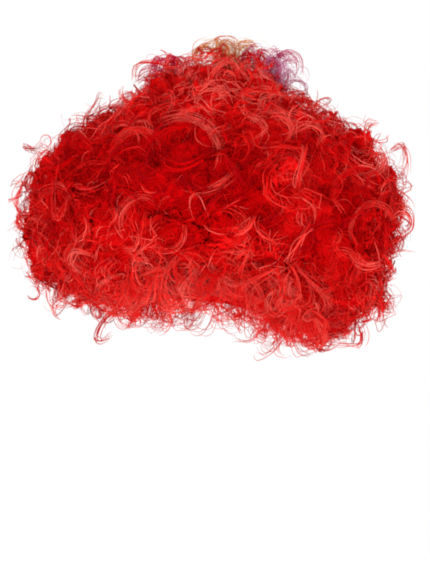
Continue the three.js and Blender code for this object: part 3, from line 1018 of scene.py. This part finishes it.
# The finest of them make a haze round the outline, also with a low tone as painted shade.
HAZE_KIND = LOOSE_KIND | {
    "radius": (0.006, 0.016), "turns": (0.35, 0.9), "rise": (0.006, 0.024), "height": (0.010, 0.020),
    "strands": 1, "spread": 0.0, "spacing": 0.0125, "points": 9, "reach": 0.030,
}
HAZE_RADIUS = 0.00015
HAZE_TONES = (0.35, 0.12)
HAZE_FRIZZ = (0.005, 60.0)

haze, _ = curls_outside(loose_draws, HAZE_KIND)
haze = haze[steady(haze)]
haze_widths = HAZE_RADIUS * loose_draws.uniform(*UNEVEN, len(haze))
red_piece("fine_red_fibres", haze, haze_widths, loose_draws.normal(*HAZE_TONES, len(haze)), HAZE_FRIZZ)


# Painted glints
# Some fibres of the locks lie flat on the rest, and a high tone on these short fibres is a painted highlight.
# They show as thin bright arcs, a few side by side.
GLINT_KIND = {
    "radius": (0.009, 0.021), "turns": (0.20, 0.34), "rise": (0.0, 0.006), "lean": (0, 35),
    "scatter": 3.2, "height": (0.005, 0.012), "start": (0, 6.3), "strands": 3, "spread": 0.0011,
    "spacing": 0.0148, "points": 8, "reach": 0.013, "tones": (0.81, 0.08, 0.05),
}
GLINT_RADIUS = 0.00036
GLINT_SHADE = 0.25
GLINT_FRIZZ = (0.003, 60.0)

glint_draws = np.random.default_rng(37)
glints, glint_tones = steady_curls_outside(glint_draws, GLINT_KIND)
glint_widths = GLINT_RADIUS * glint_draws.uniform(*UNEVEN, len(glints))
# Their tones take a share of the painted light and shade, and painted shade where they stand clear.
glint_shades = GLINT_SHADE * painted_light_and_shade_at(middles_of(glints))
glint_tones = glint_tones + glint_shades - STANDING_PAINTED_SHADE * standing_clear(glints)
red_piece("painted_glint_fibres", glints, glint_widths, glint_tones, GLINT_FRIZZ)


# Coloured tufts
# Three small tufts of gold, lilac and magenta fibre stand out of the red at the crown. Each is a loose stem
# of single fibres that open at the top into curls to either side.
# A tuft is lower by some mm at its left and its right. Its loops have the columns of the main locks' arcs.
TUFTS = [
    {
        "node": "gold_tuft", "slot": "gold_fibre", "lower": (0, 0),
        "tones": [
            (0.58, 0.085, 0.03, 1), (0.68, 0.20, 0.06, 1), (0.84, 0.50, 0.22, 1), (0.95, 0.78, 0.50, 1),
        ],
        "loops": [
            (-4, 116, 12, 215, -190, 10, 0.32),
            (-9, 111, 9, 230, -210, 10, 0.25),
            (12, 122, 8, 200, -260, 8, 0.18),
            (32, 116, 12, 170, -150, 10, 0.32),
        ],
    },
    {
        "node": "lilac_tuft", "slot": "lilac_fibre", "lower": (0, 8),
        "tones": [
            (0.45, 0.024, 0.085, 1), (0.55, 0.075, 0.18, 1), (0.68, 0.25, 0.44, 1), (0.88, 0.64, 0.82, 1),
        ],
        "loops": [
            (74, 103, 13, 225, -290, 9, 0.20),
            (67, 100, 11, 210, -250, 7, 0.12),
            (46, 108, 12, 190, -170, 8, 0.30),
        ],
    },
    {
        "node": "magenta_tuft", "slot": "magenta_fibre", "lower": (20, 4),
        "tones": [
            (0.42, 0.004, 0.03, 1), (0.58, 0.012, 0.058, 1), (0.70, 0.04, 0.12, 1), (0.86, 0.23, 0.37, 1),
        ],
        "loops": [
            (-44, 102, 10, 20, 150, 16, 0.35),
            (-52, 95, 12, 60, 130, 14, 0.30),
            (-64, 87, 11, 50, 150, 8, 0.15),
        ],
    },
]
TUFT_PARTS = [
    {"locks": 28, "strands": 5, "radius": 0.00036, "tone": 0.36, "spread": 0.0010},
    {"locks": 150, "strands": 1, "radius": 0.00022, "tone": 0.80, "spread": 0.0},
]
TUFT_GLOSS = (1, 1, 1, 1)
TUFT_FRIZZ = (0.010, 48.0)
TUFT_TONE_VARIES = 0.12
TUFT_POINTS = 18
TUFT_STEM_POINTS = 6
TUFT_ROOT = 0.055
TUFT_SPREAD = 0.008
TUFT_FOOT_SPREAD = 0.6
TUFT_CURLS = (0.4, 1.2)
TUFT_OVER = 0.004
TUFT_DROPS = (0.0, 0.034)
TUFT_TURNS = (0.30, 0.85)
TUFT_LENGTHS = (0.85, 1)
TUFT_FACING = 0.9
TUFT_CLOSES = 0.35
LOOP_DEPTH = 0.004
LOOP_RADIUS = 0.00036
LOOP_RADIUS_VARIES = 0.0022
LOOP_START_VARIES = 18
LOOP_LENGTHS = (0.6, 1)
LOOP_SPREAD = 0.0020
LOOP_AWAY = 0.006


def tuft_paths(draws, low, high, lower, part):
    """Strands that rise from a root and curl over to one side or the other, in a box."""

    def of_lock(values):
        values = np.repeat(values, part["strands"], axis=0)
        return values + draws.normal(0, part["spread"], values.shape)

    locks = part["locks"]
    side = np.repeat(np.where(np.arange(locks) % 2, 1.0, -1.0), part["strands"])
    curl = of_lock((high.x - low.x) / 4 * draws.uniform(*TUFT_CURLS, locks))
    top = of_lock(high.z + TUFT_OVER - draws.uniform(*TUFT_DROPS, locks))
    top -= np.where(side < 0, lower[0], lower[1]) / 1000
    middle = np.array([(low.x + high.x) / 2, (low.y + high.y) / 2])
    foot = of_lock(middle + draws.normal(0, TUFT_SPREAD * TUFT_FOOT_SPREAD, (locks, 2)))
    crest = of_lock(middle + draws.normal(0, TUFT_SPREAD, (locks, 2)))
    turn = np.repeat(draws.uniform(*TUFT_TURNS, locks), part["strands"])
    turn *= draws.uniform(*TUFT_LENGTHS, len(side))
    facing = np.repeat(draws.normal(0, TUFT_FACING, locks), part["strands"])[:, None]
    paths = np.empty((len(side), TUFT_POINTS, 3))
    rise = np.linspace(0, 1, TUFT_STEM_POINTS)[None]
    stem, over = slice(0, TUFT_STEM_POINTS), slice(TUFT_STEM_POINTS, None)
    paths[:, stem, :2] = foot[:, None] * (1 - rise[..., None]) + crest[:, None] * rise[..., None]
    paths[:, stem, 2] = TUFT_ROOT + (top - curl - TUFT_ROOT)[:, None] * rise
    angle = 2 * math.pi * turn[:, None] * np.linspace(0, 1, TUFT_POINTS - TUFT_STEM_POINTS + 1)[None, 1:]
    closing = 1 - TUFT_CLOSES * angle / (2 * math.pi)
    reach = (side * curl)[:, None] * (1 - np.cos(angle) * closing)
    paths[:, over, 0] = crest[:, :1] + reach * np.cos(facing)
    paths[:, over, 1] = crest[:, 1:] + reach * np.sin(facing)
    paths[:, over, 2] = (top - curl)[:, None] + curl[:, None] * np.sin(angle) * closing
    return paths


def loop_path(draws, loop, depth):
    """One strand of a lock that is an arc seen from the front, at a depth."""
    radius = loop["radius"] / 1000 + draws.normal(0, LOOP_RADIUS_VARIES)
    turned = loop["turn"] * np.linspace(0, draws.uniform(*LOOP_LENGTHS), TUFT_POINTS)
    angles = np.radians(loop["from"] + draws.normal(0, LOOP_START_VARIES) + turned)
    middle = np.array([loop["right"] / 1000, depth, loop["over"] / 1000]) + draws.normal(0, LOOP_SPREAD, 3)
    away = draws.normal(0, LOOP_AWAY) * np.linspace(0, 1, TUFT_POINTS)
    return middle + np.stack([radius * np.cos(angles), away, radius * np.sin(angles)], axis=1)


tuft_draws = np.random.default_rng(41)
for tuft in TUFTS:
    low, high = (Vector(corner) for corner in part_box(tuft["node"]))
    front = low.y + LOOP_DEPTH
    loops = [dict(zip(ARC_COLUMNS, row)) for row in tuft["loops"]]
    parts = [tuft_paths(tuft_draws, low, high, tuft["lower"], part) for part in TUFT_PARTS]
    for loop in loops:
        parts.append(np.array([loop_path(tuft_draws, loop, front) for _ in range(loop["strands"])]))
    counts = [len(paths) for paths in parts]
    paths = np.concatenate(parts)
    radii = [part["radius"] for part in TUFT_PARTS] + [LOOP_RADIUS] * len(loops)
    tones = [part["tone"] for part in TUFT_PARTS + loops]
    piece = fibre_piece(
        f"{tuft['node']}_fibres",
        paths,
        np.repeat(radii, counts) * tuft_draws.uniform(*UNEVEN, len(paths)),
        np.repeat(tones, counts) + tuft_draws.normal(0, TUFT_TONE_VARIES, len(paths)),
        TUFT_FRIZZ,
        fibre_finish(tuft["slot"], tuft["tones"], TUFT_GLOSS),
    )
    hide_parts(tuft["node"])


# Red curls at the crown
# A few red locks are rooted between the tufts. They rise and cross in front of them, so that the colours mix
# at the top of the wig.
CROWN_KIND = {
    "radius": (0.006, 0.013), "turns": (0.5, 0.95), "rise": (-0.012, 0.012), "lean": (60, 110),
    "scatter": 1.2, "height": (0.008, 0.020), "start": (0, 6.3), "strands": 5, "spread": 0.0009,
}
CROWN_CURLS = 50
CROWN_POINTS = 10
CROWN_WIDTHS = (0.008, 0.066)
CROWN_DEPTHS = (-0.020, 0.060)
CROWN_REACH = 0.022
CROWN_RADIUS = 0.00028
CROWN_TONES = (0.15, 0.75)
CROWN_FRIZZ = (0.004, 70.0)

crown_draws = np.random.default_rng(53)
crown_widths = crown_draws.uniform(*CROWN_WIDTHS, CROWN_CURLS)
crown_depths = crown_draws.uniform(*CROWN_DEPTHS, CROWN_CURLS)
crown_seen = np.stack([crown_widths, crown_depths, np.full(CROWN_CURLS, cad_high[2])], axis=1)
crown_spots, crown_ways = nearest_on_mass(crown_seen)
crown = curl_paths(crown_draws, crown_spots, crown_ways, CROWN_KIND, CROWN_POINTS)
crown = laid_on_the_mass(crown_draws, crown.reshape(-1, CROWN_POINTS, 3), CROWN_REACH)
crown_radii = CROWN_RADIUS * crown_draws.uniform(*UNEVEN, len(crown))
crown_tones = np.repeat(crown_draws.uniform(*CROWN_TONES, CROWN_CURLS), CROWN_KIND["strands"])
red_piece("red_crown_curls", crown, crown_radii, crown_tones, CROWN_FRIZZ)


# Studio
# A pale floor far below the wig, soft light from all round, and a camera in front of it that looks a little
# down on it.
WHITE = (1, 1, 1, 1)
FLOOR_LEVEL = -2.0
FLOOR_RADIUS = 7.0
FLOOR_SIDES = 96
FLOOR_COLOUR = (0.93, 0.93, 0.93, 1)
FLOOR_ROUGHNESS = 0.9
FLOOR_GLOW = 0.15
SKY_STRENGTH = 1.0
PHOTO_HEIGHT_MM = 581
PHOTO_MIDDLE = (0.001, 0.0, -0.1205)
CAMERA_DISTANCE = 1.5
CAMERA_ELEVATION = 3.0
SENSOR_MM = 36.0
FILM_SOFTNESS = 2.0
LIGHTS = [
    {"name": "key", "place": (-0.4, -1.9, -0.6), "size": 0.9, "watts": 30},
    {"name": "fill", "place": (1.2, -1.5, -0.3), "size": 1.2, "watts": 8},
    {"name": "top", "place": (0.1, -0.7, 1.5), "size": 0.7, "watts": 5},
    {"name": "back", "place": (0.3, 1.8, 0.6), "size": 1.2, "watts": 14},
]

floor_mesh = bpy.data.meshes.new("floor")
rim = bmesh.new()
bmesh.ops.create_circle(rim, cap_ends=True, segments=FLOOR_SIDES, radius=FLOOR_RADIUS)
for vert in rim.verts:
    vert.co.z = FLOOR_LEVEL
rim.to_mesh(floor_mesh)
rim.free()
floor = put_in_scene("floor", floor_mesh)
floor_finish, _, _ = new_finish(
    "pale_floor", FLOOR_ROUGHNESS, Base_Color=FLOOR_COLOUR, Emission_Color=WHITE, Emission_Strength=FLOOR_GLOW
)
floor_mesh.materials.append(floor_finish)
floor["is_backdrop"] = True

world = bpy.data.worlds.new("studio")
world.use_nodes = True
world.node_tree.nodes["Background"].inputs["Color"].default_value = WHITE
world.node_tree.nodes["Background"].inputs["Strength"].default_value = SKY_STRENGTH
bpy.context.scene.world = world
middle = Vector(PHOTO_MIDDLE)
for light in LIGHTS:
    lamp = bpy.data.lights.new(light["name"], "AREA")
    lamp.energy = light["watts"]
    lamp.size = light["size"]
    stand = put_in_scene(light["name"], lamp)
    stand.location = light["place"]
    stand.rotation_euler = (middle - Vector(light["place"])).to_track_quat("-Z", "Y").to_euler()

lens = bpy.data.cameras.new("camera")
lens.sensor_width = SENSOR_MM
lens.lens = SENSOR_MM * CAMERA_DISTANCE * 1000 / PHOTO_HEIGHT_MM
camera = put_in_scene("camera", lens)
tilt = math.radians(CAMERA_ELEVATION)
camera.location = middle + CAMERA_DISTANCE * Vector((0, -math.cos(tilt), math.sin(tilt)))
camera.rotation_euler = (math.pi / 2 - tilt, 0, 0)
bpy.context.scene.camera = camera
bpy.context.scene.view_settings.view_transform = "Standard"
bpy.context.scene.cycles.filter_width = FILM_SOFTNESS

low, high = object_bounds()
